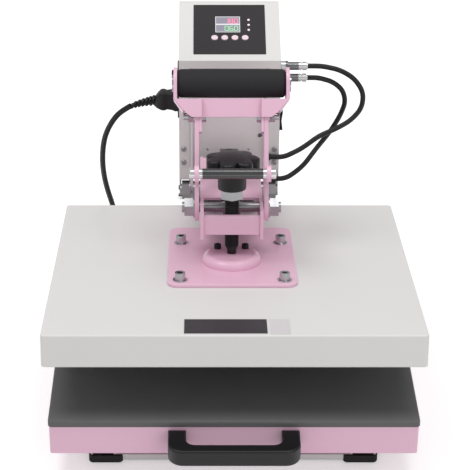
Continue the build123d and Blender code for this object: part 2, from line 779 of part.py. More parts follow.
with BuildPart() as lever_shaft:
    for x in (-56, 6):
        with BuildSketch(lever_side.offset(x)):
            Circle(lever_shaft_radius)
        extrude(amount=50)
    for x in (-10, 6):
        with BuildSketch(lever_side.offset(x)):
            Circle(6.6)
            with Locations((pin_v, pin_s)):
                Circle(6.5)
            Polygon(*strip((0, 0), (pin_v, pin_s), 6.5), align=None)
        extrude(amount=4)
    with BuildSketch(lever_side.offset(-8)):
        with Locations((pin_v, pin_s)):
            Circle(crank_pin_radius)
    extrude(amount=16)
    for x, way in ((-lever_outer, -1), (lever_outer, 1)):
        with BuildSketch(lever_side.offset(x)):
            Circle(12.2)
        extrude(amount=way * 1.6)
        with BuildSketch(lever_side.offset(x + way * 1.6)):
            RegularPolygon(nut_radius, 6)
        extrude(amount=way * 10)
lever_shaft.part.label = "lever_shaft"

head_leg = 33.5
ear_inner = 61.5
ear_outer = 65.5
web_top = 121.0
with BuildPart() as handle_head:
    for s in (-1, 1):
        with BuildSketch(lever_side.offset(min(s * head_leg, s * (lever_inner - 0.1)))):
            with Locations((-0.5, 84)):
                Rectangle(30.6, 38, align=(Align.CENTER, Align.MIN))
            with Locations((0, bolt_height)):
                Circle(4 + shaft_gap, mode=Mode.SUBTRACT)
        extrude(amount=lever_inner - 0.1 - head_leg)
        with BuildSketch(lever_face.offset(15.6)):
            Polygon(
                (s * head_leg, 100.5),
                (s * 45, 100.5),
                (s * 52, 106),
                (s * ear_outer, web_top),
                (s * head_leg, web_top),
                align=None,
            )
        extrude(amount=3)
        with BuildSketch(lever_face.offset(-14)):
            Polygon(
                (s * 52, 109),
                (s * ear_inner, 122),
                (s * ear_inner, 158),
                (s * ear_outer, 158),
                (s * ear_outer, 121),
                (s * 55.2, 107),
                align=None,
            )
        extrude(amount=32.2)
    with BuildSketch(lever_face.offset(8.5)):
        with Locations((0, 111.5)):
            Rectangle(2 * head_leg, 21)
    extrude(amount=3)
    with BuildSketch(lever_side.offset(-70)):
        with Locations((0, grip_height)):
            Rectangle(80, 40, align=(Align.CENTER, Align.MIN))
            Circle(18.3, mode=Mode.SUBTRACT)
    extrude(amount=140, mode=Mode.SUBTRACT)
    with BuildSketch(lever_side.offset(-70)):
        with Locations((0, grip_height)):
            Circle(8 + shaft_gap)
    extrude(amount=140, mode=Mode.SUBTRACT)
handle_head.part.label = "handle_head"

with BuildPart() as head_bolts:
    for s in (-1, 1):
        for x, length, radius in ((head_leg - 5, 26, 4.0), (head_leg - 5, 5, 7.0), (lever_outer, 1.2, 8.0)):
            with BuildSketch(lever_side.offset(s * x)):
                with Locations((0, bolt_height)):
                    Circle(radius)
            extrude(amount=s * length)
        with BuildSketch(lever_side.offset(s * (lever_outer + 1.2))):
            with Locations((0, bolt_height)):
                RegularPolygon(6.5, 6, rotation=30)
        extrude(amount=s * 6.5)
head_bolts.part.label = "head_bolts"

with BuildPart() as grip_rod:
    with BuildSketch(lever_side.offset(-ear_outer)):
        with Locations((0, grip_height)):
            Circle(8)
    extrude(amount=2 * ear_outer)
    for s in (-1, 1):
        with BuildSketch(lever_side.offset(s * ear_outer)):
            with Locations((0, grip_height)):
                Circle(9.5)
        extrude(amount=s * 2)
grip_rod.part.label = "grip_rod"

grip_radius = 16.5
with BuildPart() as foam_grip:
    with BuildSketch(lever_side.offset(-ear_inner)):
        with Locations((0, grip_height)):
            Circle(grip_radius)
            Circle(8 + shaft_gap, mode=Mode.SUBTRACT)
    extrude(amount=2 * ear_inner)
    fillet(foam_grip.edges().filter_by(GeomType.CIRCLE).group_by(SortBy.RADIUS)[-1], 2.5)
foam_grip.part.label = "foam_grip"

# Toggle link from the crank pin to the rear pin, with a wide eye at the crank
link_half = 4.0
link_elbow = (400.0, 150.0)
link_front = (crank_pin[0] - y0, crank_pin[1])
link_rear = (link_rear_y, link_rear_z)
with BuildPart() as toggle_link:
    with BuildSketch(side.offset(-link_half)):
        with Locations(link_front):
            Circle(11.5)
        with Locations(link_rear):
            Circle(12)
        with Locations(link_elbow):
            Circle(6)
        Polygon(*strip(link_front, link_elbow, 6), align=None)
        Polygon(*strip(link_elbow, link_rear, 6), align=None)
        with Locations(link_front):
            Circle(8, mode=Mode.SUBTRACT)
        with Locations(link_rear):
            Circle(7 + shaft_gap, mode=Mode.SUBTRACT)
    extrude(amount=2 * link_half)
toggle_link.part.label = "toggle_link"

# Hot head: cover, insulation, heating plate and the probe in it
cover_wall = 2.0
mount_bolt_places = [(-57.5, -57.5), (57.5, -57.5), (-57.5, 57.5), (57.5, 57.5)]
with BuildPart() as head_cover:
    with BuildSketch(head.offset(-head_height)):
        RectangleRounded(press_width, press_width, 4)
    extrude(amount=head_height)
    fillet(head_cover.faces().sort_by(Axis.Z)[-1].edges(), 1.5)
    with BuildSketch(head.offset(-head_height)):
        Rectangle(press_width - 2 * cover_wall, press_width - 2 * cover_wall)
    extrude(amount=head_height - cover_wall, mode=Mode.SUBTRACT)
    with BuildSketch(head.offset(-cover_wall)):
        with Locations(*mount_bolt_places):
            Circle(4.2)
    extrude(amount=cover_wall, mode=Mode.SUBTRACT)
head_cover.part.label = "head_cover"

plate_side = press_width - 2 * cover_wall - 2
with BuildPart() as insulation:
    with BuildSketch(head.offset(-head_height + 12)):
        Rectangle(plate_side, plate_side)
        with Locations(*mount_bolt_places):
            Circle(4.5, mode=Mode.SUBTRACT)
    extrude(amount=head_height - 12 - cover_wall)
insulation.part.label = "insulation"

with BuildPart() as heating_plate:
    with BuildSketch(head.offset(-head_height)):
        Rectangle(plate_side, plate_side)
    extrude(amount=12)
    chamfer(heating_plate.faces().sort_by(Axis.Z)[0].edges(), 1)
    with BuildSketch(head.offset(-head_height + 4)):
        with Locations(*mount_bolt_places):
            Circle(4 + shaft_gap)
    extrude(amount=8, mode=Mode.SUBTRACT)
    with BuildSketch(head.offset(-head_height + 9)):
        for x in (-150, -90, -30, 30, 90, 150):
            with Locations((x, 0)):
                Rectangle(9, 300)
    extrude(amount=3, mode=Mode.SUBTRACT)
heating_plate.part.label = "heating_plate"

with BuildPart() as heating_element:
    with BuildSketch(head.offset(-head_height + 9)):
        for x in (-150, -90, -30, 30, 90, 150):
            with Locations((x, 0)):
                Rectangle(8.6, 299)
    extrude(amount=2.8)
heating_element.part.label = "heating_element"

with BuildPart() as mount_plate:
    with BuildSketch(head):
        with Locations((0, 18.9)):
            RectangleRounded(143, 180, 12)
        with Locations(*mount_bolt_places):
            Circle(4.2, mode=Mode.SUBTRACT)
    extrude(amount=4)
    fillet(mount_plate.faces().sort_by(Axis.Z)[-1].outer_wire().edges(), 1)
mount_plate.part.label = "mount_plate"

with BuildPart() as mount_bolts:
    with BuildSketch(head.offset(4)):
        with Locations(*mount_bolt_places):
            Circle(8)
    extrude(amount=1)
    with BuildSketch(head.offset(5)):
        with Locations(*mount_bolt_places):
            Circle(5.8)
    extrude(amount=8)
    with BuildSketch(head.offset(-head_height + 5)):
        with Locations(*mount_bolt_places):
            Circle(4)
    extrude(amount=head_height)
    with BuildSketch(head.offset(9)):
        with Locations(*mount_bolt_places):
            RegularPolygon(3.4, 6)
    extrude(amount=4, mode=Mode.SUBTRACT)
mount_bolts.part.label = "mount_bolts"

boss_top = 14.0
with BuildPart() as pressure_boss:
    with BuildSketch(head.offset(4)):
        Circle(33)
    extrude(amount=boss_top - 4)
    fillet(pressure_boss.faces().sort_by(Axis.Z)[-1].edges(), 8)
    with BuildSketch(head.offset(5)):
        Circle(5 + shaft_gap)
    extrude(amount=boss_top - 5, mode=Mode.SUBTRACT)
pressure_boss.part.label = "pressure_boss"

with BuildPart() as boss_screws:
    with BuildSketch(head.offset(boss_top)):
        with Locations((-15.6, 14), (15.6, 14)):
            Circle(4)
    extrude(amount=5)
    with BuildSketch(head.offset(boss_top + 2)):
        with Locations((-15.6, 14), (15.6, 14)):
            RegularPolygon(2.3, 6)
    extrude(amount=3, mode=Mode.SUBTRACT)
boss_screws.part.label = "boss_screws"

with BuildPart() as name_plates:
    with BuildSketch(head):
        with Locations((-9, 23.5 - press_width / 2)):
            Rectangle(86, 36)
    extrude(amount=0.6)
    with BuildSketch(head):
        with Locations((47.5, 22.5 - press_width / 2)):
            Rectangle(21, 38)
    extrude(amount=0.4)
name_plates.part.label = "name_plates"

# Pressure screw with its lock nut and star knob
with BuildPart() as pressure_screw:
    with BuildSketch(head.offset(boss_top + 6)):
        Circle(screw_radius)
    extrude(amount=112 - boss_top - 6)
    chamfer(pressure_screw.edges().sort_by(Axis.Z)[0], 1.5)
    with BuildSketch(head.offset(5 + 0.5)):
        Circle(5)
    extrude(amount=boss_top + 2)
pressure_screw.part.label = "pressure_screw"

with BuildPart() as lock_nut:
    with BuildSketch(head.offset(80)):
        RegularPolygon(13.8, 6, rotation=30)
        Circle(screw_radius + shaft_gap, mode=Mode.SUBTRACT)
    extrude(amount=10)
lock_nut.part.label = "lock_nut"

with BuildPart() as star_knob:
    with BuildSketch(head.offset(90)):
        Circle(16)
    extrude(amount=23)
    with BuildSketch(head.offset(112)):
        Circle(25)
        with PolarLocations(24, 7):
            Circle(7)
        with PolarLocations(33.2, 7, start_angle=180 / 7):
            Circle(6.4, mode=Mode.SUBTRACT)
    extrude(amount=11)
    fillet(star_knob.faces().sort_by(Axis.Z)[-1].edges(), 1.5)
    with BuildSketch(head.offset(122)):
        Circle(22)
    extrude(amount=9, taper=18)
    fillet(star_knob.faces().sort_by(Axis.Z)[-1].edges(), 4)
    with BuildSketch(head.offset(90)):
        Circle(screw_radius + shaft_gap)
    extrude(amount=22.2, mode=Mode.SUBTRACT)
star_knob.part.label = "star_knob"

# Power cord: connector in the inlet, the hanging run, a coil behind the press and the plug
cord_diameter = 7.0
cord_start = (-121.0, y0 + 446.0, 214.6)
cord_points = [
    cord_start,
    (-134.3, y0 + 447.5, 206.4),
    (-146.3, y0 + 451.0, 189.5),
    (-154.8, y0 + 457.0, 168.5),
    (-158.6, y0 + 465.0, 146.0),
    (-160.0, y0 + 474.0, 121.0),
    (-158.8, y0 + 483.5, 96.5),
    (-155.5, y0 + 493.0, 72.5),
    (-151.0, y0 + 502.0, 50.0),
    (-147.5, y0 + 511.0, 27.5),
    (-136.0, y0 + 519.0, 10.5),
    (-115.0, y0 + 524.0, 3.6),
    (-82.0, y0 + 521.5, 3.6),
    (-48.0, y0 + 512.5, 3.6),
    (-22.0, y0 + 508.0, 3.6),
    (-2.0, y0 + 508.0, 3.6),
]
cord_radii = smooth_path(cord_points)
cord_way = Vector(cord_points[1]) - Vector(cord_start)
with BuildPart() as power_cord:
    with BuildLine() as cord_path:
        FilletPolyline(*cord_points, radius=cord_radii)
    with BuildSketch(Plane(origin=cord_start, z_dir=cord_way)):
        Circle(cord_diameter / 2)
    sweep()
power_cord.part.label = "power_cord"
report_tube("power_cord", power_cord.part, cord_path.wires()[0], cord_diameter, cord_radii)

with BuildPart() as cord_connector:
    with BuildSketch(side.offset(-casing_half - 2)):
        with Locations((inlet_y, inlet_z)):
            RectangleRounded(19, 25.6, 3)
    extrude(amount=-30)
    with BuildSketch(side.offset(-casing_half - 2)):
        with Locations((inlet_y, inlet_z)):
            RectangleRounded(16.4, 23, 1.2)
    extrude(amount=3)
    relief = Plane(origin=cord_start, z_dir=cord_way * -1)
    with BuildSketch(relief):
        Circle(5)
    with BuildSketch(side.offset(-casing_half - 31)):
        with Locations((inlet_y, inlet_z)):
            Circle(8.5)
    loft()
cord_connector.part.label = "cord_connector"

# Coil: a flat spiral in on the table, a half turn that climbs a layer, and a spiral out on top
coil_middle = (5.0, y0 + 556.0)
coil_pitch = cord_diameter + 0.7
coil_height = 3.6
coil_half_turns = 5
coil_radius = 48.0
coil_start = (coil_middle[0] - cord_diameter, coil_middle[1] - coil_radius, coil_height)
here = (coil_middle[0], coil_middle[1] - coil_radius, coil_height)
coil_arcs = []
for number in range(2 * coil_half_turns + 1):
    way = 1 if number % 2 == 0 else -1
    rise = coil_pitch if number == coil_half_turns else 0.0
    end = (here[0], here[1] + way * 2 * coil_radius, here[2] + rise)
    bulge = dist(here, end) / 2
    middle = (here[0] + way * bulge, here[1] + way * coil_radius, here[2] + rise / 2)
    coil_arcs.append((here, middle, end))
    here = end
    coil_radius += coil_pitch / 2 if number >= coil_half_turns else -coil_pitch / 2
coil_end = (here[0] - 3 * cord_diameter, here[1], here[2])

with BuildPart() as cord_coil:
    with BuildLine() as coil_path:
        Line(coil_start, coil_arcs[0][0])
        for start, middle, end in coil_arcs:
            ThreePointArc(start, middle, end)
        Line(coil_arcs[-1][2], coil_end)
    with BuildSketch(Plane(origin=coil_start, z_dir=(1, 0, 0))):
        Circle(cord_diameter / 2)
    sweep()
cord_coil.part.label = "cord_coil"
coil_wire = coil_path.wires()[0]
coil_expected = pi * cord_diameter**2 / 4 * coil_wire.length
steps = 1500
coil_points = [tuple(coil_wire.position_at(i / steps)) for i in range(steps + 1)]
skip = int(60 / coil_wire.length * steps)
coil_gap = min(
    dist(coil_points[i], coil_points[j])
    for i in range(0, steps, 4)
    for j in range(i + skip, steps + 1, 2)
)
print(f"cord_coil: length {coil_wire.length:.1f}, volume ratio {cord_coil.part.volume / coil_expected:.4f}")
print(f"cord_coil: least gap between turns {coil_gap - cord_diameter:.2f}")

with BuildPart() as mains_plug:
    with BuildSketch(Plane(origin=coil_end, z_dir=(-1, 0, 0))):
        Circle(5)
    with BuildSketch(Plane(origin=(coil_end[0] - 14, coil_end[1], coil_end[2]), z_dir=(-1, 0, 0))):
        RectangleRounded(24, 21, 8)
    loft()
    with BuildSketch(Plane(origin=(coil_end[0] - 14, coil_end[1], coil_end[2]), z_dir=(-1, 0, 0))):
        RectangleRounded(24, 21, 8)
    extrude(amount=18)
    with BuildSketch(Plane(origin=(coil_end[0] - 32, coil_end[1], coil_end[2]), z_dir=(-1, 0, 0))):
        with Locations((-6.3, 3), (6.3, 3)):
            Rectangle(1.6, 6.4)
        with Locations((0, -5)):
            Circle(2.4)
    extrude(amount=17)
mains_plug.part.label = "mains_plug"

pieces = [
    side_rails,
    front_rail,
    rear_plate,
    rubber_feet,
    slide_outer,
    slide_middle,
    slide_inner,
    tray,
    silicone_pad,
    tray_handle,
    tower,
    casing_front,
    casing_back,
    casing_screws,
    control_label,
    display_window,
    indicator_lamps,
    control_board,
    inlet_socket,
    fuse_cap,
    rocker_frame,
    rocker_switch,
    cable_sockets,
    cable_plugs,
    heater_cable,
    sensor_cable,
    cable_grommets,
    pivot_bolts,
    arm_side_plates,
    arm_top_plate,
    front_beam,
    arm_bushes,
    lever_plates,
    stop_bar,
    lever_shaft,
    handle_head,
    head_bolts,
    grip_rod,
    foam_grip,
    toggle_link,
    head_cover,
    insulation,
    heating_plate,
    heating_element,
    mount_plate,
    mount_bolts,
    pressure_boss,
    boss_screws,
    name_plates,
    pressure_screw,
    lock_nut,
    star_knob,
    power_cord,
    cord_connector,
    cord_coil,
    mains_plug,
]
for piece in pieces:
    export_step(piece.part, f"parts/{piece.part.label}.step")
for button in buttons:
    export_step(button, f"parts/{button.label}.step")
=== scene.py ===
# %% [markdown]
# # A slide-out heat press
# The steel frame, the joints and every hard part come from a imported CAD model, which we load
# as it is and never move. Blender adds the soft and fine pieces, the finishes, the light and
# the camera.

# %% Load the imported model
from math import cos, pi, radians, sin

import bmesh
import bpy
from mathutils import Euler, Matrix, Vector


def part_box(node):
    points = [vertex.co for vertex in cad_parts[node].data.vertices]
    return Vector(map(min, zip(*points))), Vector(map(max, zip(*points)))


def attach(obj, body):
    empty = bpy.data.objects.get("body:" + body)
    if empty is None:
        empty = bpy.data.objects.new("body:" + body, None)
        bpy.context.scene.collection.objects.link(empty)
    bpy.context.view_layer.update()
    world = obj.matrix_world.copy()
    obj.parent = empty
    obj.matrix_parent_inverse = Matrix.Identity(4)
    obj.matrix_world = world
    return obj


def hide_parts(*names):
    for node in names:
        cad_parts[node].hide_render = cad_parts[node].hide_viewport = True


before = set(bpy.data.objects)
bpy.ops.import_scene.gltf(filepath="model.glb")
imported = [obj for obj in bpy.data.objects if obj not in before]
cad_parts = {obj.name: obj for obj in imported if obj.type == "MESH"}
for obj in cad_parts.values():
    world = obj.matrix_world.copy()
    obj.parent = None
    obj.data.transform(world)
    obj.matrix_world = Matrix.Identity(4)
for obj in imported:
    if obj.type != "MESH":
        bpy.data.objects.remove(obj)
bpy.context.view_layer.update()
MM = 0.001
rails_front = -216.05    # y of the front of the rails, in millimetres

# %% [markdown]
# ## The camera
# The photograph was taken from far off with a long lens, a little to the left and from above.
# We set the same viewpoint: its distance comes from how fast the tray edges converge, and the
# small sideways shift puts the press where it stands in the picture.

# %% Set the camera
lens_mm, sensor_mm = 136.3, 36.0
picture_px, sideways_px = 470, 35
look_up = radians(61.05)    # 90 degrees would look level
far_away = 60               # metres that the camera still sees
eye = Vector((-35.6, rails_front - 1557.7, 1140.3)) * MM
camera = bpy.data.objects.new("camera", bpy.data.cameras.new("camera"))
bpy.context.collection.objects.link(camera)
camera.location = eye
camera.rotation_euler = Euler((look_up, 0, 0))
camera.data.lens = lens_mm
camera.data.sensor_width = sensor_mm
camera.data.sensor_fit = "HORIZONTAL"
camera.data.shift_x = sideways_px / picture_px
camera.data.clip_end = far_away
bpy.context.scene.camera = camera
bpy.context.scene.view_settings.view_transform = "Standard"
print("camera", [round(v, 3) for v in eye])

# %% [markdown]
# ## The mains lead
# A mains lead is one flexible round cable. It leaves the connector on the left wall, drops in a
# loose bend to the table and is wound into a coil behind the press, as for storage. One smooth
# NURBS curve with a round bevel gives it an even thickness through every bend, and the same
# curve goes on through the turns of the coil, so nothing has to be joined.


# %% A smooth cable from a few points
def cable(name, points, diameter):
    """A round NURBS cable along points in millimetres, with its diameter in metres."""
    curve = bpy.data.curves.new(name, "CURVE")
    curve.dimensions = "3D"
    curve.bevel_depth = 1.0    # times each point's own radius
    curve.bevel_resolution = 5
    curve.resolution_u = 6
    spline = curve.splines.new("NURBS")
    spline.points.add(len(points) - 1)
    for where, point in zip(points, spline.points):
        point.co = (*(Vector(where) * MM), 1)
        point.radius = diameter / 2
    spline.order_u = 3
    spline.use_endpoint_u = True
    piece = bpy.data.objects.new(name, curve)
    bpy.context.collection.objects.link(piece)
    print(name, "of", len(points), "points")
    return piece


# %% The drop from the inlet to the table
lead_mm = 7.0
drop = [
    (-121, 446, 214.6), (-134.3, 447.5, 206.4), (-146.3, 451, 189.5), (-154.8, 457, 168.5),
    (-158.6, 465, 146), (-160, 474, 121), (-158.8, 483.5, 96.5), (-155.5, 493, 72.5),
    (-151, 502, 50), (-147.5, 511, 27.5), (-136, 519, 10.5), (-115, 524, 3.6),
    (-82, 521.5, 3.6), (-48, 512.5, 3.6), (-22, 508, 3.6), (-2, 508, 3.6),
]
print("drop has", len(drop), "points")

# %% [markdown]
# The coil is five and a half turns. They wind in to the middle on the table and out again on
# top, so both ends finish on the outside. Each half turn has its own centre and radius, and
# seven points on it are enough for a smooth round turn.

# %% The turns of the coil
half_turns = [48, 44.15, 40.3, 36.45, 32.6, 28.75, 32.6, 36.45, 40.3, 44.15, 48]
layer_rise, steps = 7.7, 7
climbing = 5         # the half turn that climbs to the upper layer
widen = 1.04         # the coil is a little wider than deep
coil_x, y_here, level = 5.0, 508.0, 3.6
turns = []
for number, radius in enumerate(half_turns):
    side, way = (1, 1) if number % 2 == 0 else (-1, -1)
    for step in range(steps):
        angle = pi * (step + 0.5) / steps
        rise = layer_rise * (step + 0.5) / steps if number == climbing else 0.0
        turns.append((
            coil_x + side * widen * radius * sin(angle),
            y_here + way * radius * (1 - cos(angle)),
            level + rise,
        ))
    y_here += way * 2 * radius
    level += layer_rise if number == climbing else 0.0
tail = [(x, y_here, level) for x in (5, -2, -16)]
print("coil ends at y", round(y_here, 1), "level", level)

mains_lead = cable("mains_lead", drop + turns + tail, lead_mm * MM)
for point in mains_lead.data.splines[0].points:
    point.co.y += rails_front * MM
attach(mains_lead, "base")
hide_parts("power_cord", "cord_coil")
print("the lead starts at x", drop[0][0], "and ends at x", tail[-1][0])

# %% [markdown]
# ## Shapes of revolution and slabs
# The rod, the grip and the figures are simple to build point by point. Three helpers do most of
# it: the first makes a mesh with its faces turned outwards, the second joins rings of points
# into a skin, and the third lets a piece ride on a body of the frame.


# %% Mesh, skin and place helpers
def shape(name, points, faces):
    """An object from points and faces, with every face turned outwards."""
    mesh = bpy.data.meshes.new(name)
    mesh.from_pydata(points, [], faces)
    made = bmesh.new()
    made.from_mesh(mesh)
    bmesh.ops.recalc_face_normals(made, faces=made.faces)
    made.to_mesh(mesh)
    made.free()
    piece = bpy.data.objects.new(name, mesh)
    bpy.context.collection.objects.link(piece)
    return piece


def skin(name, rings, closed_ends=True):
    """A mesh from rings of points, each joined to the next."""
    count = len(rings[0])
    points = [p for ring in rings for p in ring]
    faces = [
        (r * count + i, r * count + (i + 1) % count,
         (r + 1) * count + (i + 1) % count, (r + 1) * count + i)
        for r in range(len(rings) - 1) for i in range(count)
    ]
    if closed_ends:
        faces += [tuple(reversed(range(count))),
                  tuple(range((len(rings) - 1) * count, len(rings) * count))]
    return shape(name, points, faces)


def place(piece, body, slot, *nodes, angle=35):
    """The piece rides on a body and stands for CAD nodes; slot is not used."""
    piece.data.polygons.foreach_set("use_smooth", [True] * len(piece.data.polygons))
    with bpy.context.temp_override(object=piece, selected_editable_objects=[piece]):
        bpy.ops.object.shade_smooth_by_angle(angle=radians(angle))
    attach(piece, body)
    if nodes:
        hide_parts(*nodes)
    print(piece.name, len(piece.data.polygons), "faces on", body)
    return piece


print("helpers ready")

# %% [markdown]
# ## The connector of the lead
# The lead ends at the press in a moulded connector: a boxy body with a waist for the fingers,
# then a round sleeve with rings, which lets the cable bend without breaking. We loft it through
# rings that go from squarish to round, and lean them down towards the cable.

# %% Loft the connector
connector_y, connector_z = 229.0, 223.5
bend_from, cable_from, cable_z = 84.0, 121.0, 214.6
ring_steps, ring_lean, ring_drift = 40, 0.55, 0.95


def connector_ring(away, half_deep, half_high, square):
    """One ring, away from the middle of the press, squarish where square is large."""
    lean = max(0.0, (away - bend_from) / (cable_from - bend_from))
    z_mid = connector_z - (connector_z - cable_z) * lean ** 1.6
    ring = []
    for i in range(ring_steps):
        a = 2 * pi * i / ring_steps
        c, s = cos(a), sin(a)
        y = half_deep * (1 if c > 0 else -1) * abs(c) ** (2 / square)
        z = half_high * (1 if s > 0 else -1) * abs(s) ** (2 / square)
        ring.append((
            (-away + ring_lean * min(lean * 2, 1) * z) * MM,
            (connector_y + ring_drift * min(lean, 1) + y) * MM, (z_mid + z) * MM))
    return ring


body_rings = [
    (60.0, 8.6, 12.2, 7), (60.8, 9.4, 13.0, 7), (67.0, 9.5, 13.1, 7), (69.0, 8.8, 11.9, 7),
    (76.0, 8.2, 10.9, 6), (79.5, 9.0, 12.2, 6), (83.0, 9.1, 12.0, 6), (88.0, 7.6, 9.6, 4),
    (90.5, 6.0, 7.2, 3), (92.0, 5.0, 5.8, 2.4),
]
ribs, rib_pitch, rib_taper, rib_deep = 6, 4.6, 0.38, 1.5
sleeve_rings = []
for rib in range(ribs):
    start, size = 93.0 + rib_pitch * rib, 6.9 - rib_taper * rib
    root = size - rib_deep
    sleeve_rings += [(start, root, root, 2), (start + 0.4, size, size, 2),
                     (start + 2.6, size - 0.1, size - 0.1, 2), (start + 3.0, root, root, 2)]
sleeve_rings.append((121.5, 3.7, 3.7, 2))
connector = skin("lead_connector", [connector_ring(*r) for r in body_rings + sleeve_rings])
place(connector, "base", "black_plastic", "cord_connector", angle=40)

# %% [markdown]
# ## The pressure screw
# The black rod under the star knob is a coarse metric screw, and its thread catches the light as
# fine rings. We sweep a circle up the rod and let its radius follow the thread's triangle wave,
# turned a little further at each step, which draws a true helix.

# %% Frame of the head
tilt = radians(8.4)
head_origin = Vector((0, -30.192, 138.099))
head_up = Vector((0, sin(tilt), cos(tilt)))
head_back = Vector((0, cos(tilt), -sin(tilt)))


def on_head(x, k, t):
    """A point x across, k back along and t up from the tilted head, in metres."""
    return (head_origin + Vector((x, 0, 0)) + head_back * k + head_up * t) * MM


print("the screw stands at", [round(v, 4) for v in on_head(0, 0, 0)])


# %% Sweep the threaded rod
rod_low, neck_low, neck_high, rod_high = 20.0, 5.5, 21.5, 112.0
rod_radius, thread_deep, thread_pitch = 8.0, 0.95, 2.0
run_out, run_out_deep = 2.0, 1.2    # where the thread fades out above the neck
round_steps, level_step = 32, 0.2


def thread_radius(t, turn):
    """Outer radius of the thread at a height and a turn around the rod."""
    phase = (t / thread_pitch - turn) % 1.0
    crest = min(1.0, max(0.0, 1.6 * (1 - abs(2 * phase - 1)) - 0.15))
    full = max(0.0, min(1.0, (t - neck_high) / run_out))
    return rod_radius - thread_deep * (1 - crest) - run_out_deep * (1 - full)


def ring_at(t, radius_of):
    """A ring round the screw at height t."""
    return [
        on_head(radius_of(t, i / round_steps) * cos(2 * pi * i / round_steps),
                radius_of(t, i / round_steps) * sin(2 * pi * i / round_steps), t)
        for i in range(round_steps)
    ]


def plain(radius):
    """A radius that is the same at every height and turn."""
    return lambda t, turn: radius


low_levels = [(neck_low, 4.4), (neck_low + 0.6, 5.0), (rod_low, 5.0), (rod_low, 6.2)]
rings = [ring_at(t, plain(r)) for t, r in low_levels]
levels = int((rod_high - neck_high) / level_step)
rings += [ring_at(neck_high + level_step * n, thread_radius) for n in range(levels)]
rings += [ring_at(rod_high, plain(6.6))]
rod = place(skin("threaded_rod", rings), "screw", "black_steel", "pressure_screw", angle=50)

# %% [markdown]
# ## The star knob
# The knob that turns the screw is a moulded star of seven lobes with a low dome on top and a
# round hub below. One formula gives its radius at every turn, so each ring of the skin is the
# same star at another size and height.

# %% Mould the star knob
lobes, star_mid, star_wave, knob_steps = 7, 26.6, 4.4, 140
dome_from, dome_rise, dome_share = 127.2, 3.6, 0.92


def star_ring(t, size, wave):
    """A star ring: size is its mean radius, wave how far the lobes stand out."""
    ring = []
    for i in range(knob_steps):
        a = 2 * pi * i / knob_steps
        beat = 2 * (0.5 + 0.5 * cos(lobes * a)) ** 0.42 - 1    # wide lobes, narrow notches
        reach = size + wave * beat
        ring.append(on_head(reach * cos(a), reach * sin(a), t))
    return ring


hub = [(90.4, 14.6, 0), (91.2, 15.8, 0), (107.0, 16.0, 0), (109.5, 17.5, 0.4)]
skirt = [(110.6, 22.0, 2.0), (111.2, star_mid - 1.4, star_wave), (112.2, star_mid, star_wave),
         (124.6, star_mid, star_wave), (126.0, star_mid - 0.6, star_wave * 0.95),
         (126.9, star_mid - 1.8, star_wave * 0.8)]
dome = [(dome_from + dome_rise * (1 - r * r), star_mid * dome_share * r,
         0.5 * star_wave * max(0.0, (r - 0.8) / 0.2) ** 1.5)
        for r in (0.99, 0.94, 0.88, 0.8, 0.68, 0.55, 0.4, 0.25, 0.1)]
knob = skin("star_grip", [star_ring(*r) for r in hub + skirt + dome])
place(knob, "screw", "black_plastic", "star_knob", angle=40)

# %% [markdown]
# ## The foam grip
# The handle is a sleeve of closed-cell foam pushed over a steel bar. Foam has no sharp edge: its
# ends round over and the sleeve swells a little between them, so we turn a soft profile.

# %% Turn the foam grip
lever_lean = radians(30)
lever_origin = Vector((0, 5.137, 192.522))
lever_up = Vector((0, sin(lever_lean), cos(lever_lean)))
lever_back = Vector((0, cos(lever_lean), -sin(lever_lean)))
grip_centre = lever_origin + lever_up * 140.3
grip_half, grip_radius, bore_radius, soft_end = 61.5, 16.5, 9.6, 4.5
grip_steps, swell = 48, 0.35


def grip_ring(x, radius):
    """A ring round the handle, x to the side of its middle."""
    angles = [2 * pi * i / grip_steps for i in range(grip_steps)]
    return [
        (grip_centre + Vector((x, 0, 0)) + radius * (lever_up * cos(a) + lever_back * sin(a))) * MM
        for a in angles
    ]


outline = [(-grip_half + 0.6, bore_radius), (-grip_half, bore_radius + 1.2)]
outline += [
    (-grip_half + soft_end * (1 - cos(a)), grip_radius - swell - soft_end * (1 - sin(a)))
    for a in (0.15, 0.5, 0.85, 1.2, pi / 2)
]
outline += [(x, grip_radius - swell * (x / grip_half) ** 2) for x in range(-50, 1, 10)]
outline += [(-x, r) for x, r in reversed(outline[:-1])]
foam = skin("grip_sleeve", [grip_ring(x, r) for x, r in outline + outline[:1]], closed_ends=False)
place(foam, "lever", "black_foam", "foam_grip", angle=60)

# %% [markdown]
# ## The silicone pad
# The work lies on a sheet of silicone sponge glued to the tray. It is flat on its back, slightly
# crowned on top, with cut edges that round over where the sponge gives.

# %% Lay the silicone pad
pad_low, pad_high = (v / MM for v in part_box("silicone_pad"))
pad_mid = (pad_low + pad_high) / 2
pad_half = (pad_high - pad_low) / 2
pad_corner, pad_round, crown, crown_reach = 4.0, 2.2, 0.35, 60
corner_steps, least_corner = 6, 0.4


def pad_ring(inset, height):
    """A rounded rectangle of points at one height, inset from the pad's edge."""
    reach = max(pad_corner - inset, least_corner)
    points = []
    for cx, cy, start in ((1, 1, 0), (-1, 1, 1), (-1, -1, 2), (1, -1, 3)):
        for step in range(corner_steps + 1):
            a = pi / 2 * (start + step / corner_steps)
            points.append((
                pad_mid[0] + cx * (pad_half[0] - inset - reach) + reach * cos(a),
                pad_mid[1] + cy * (pad_half[1] - inset - reach) + reach * sin(a),
                height,
            ))
    return [Vector(p) * MM for p in points]


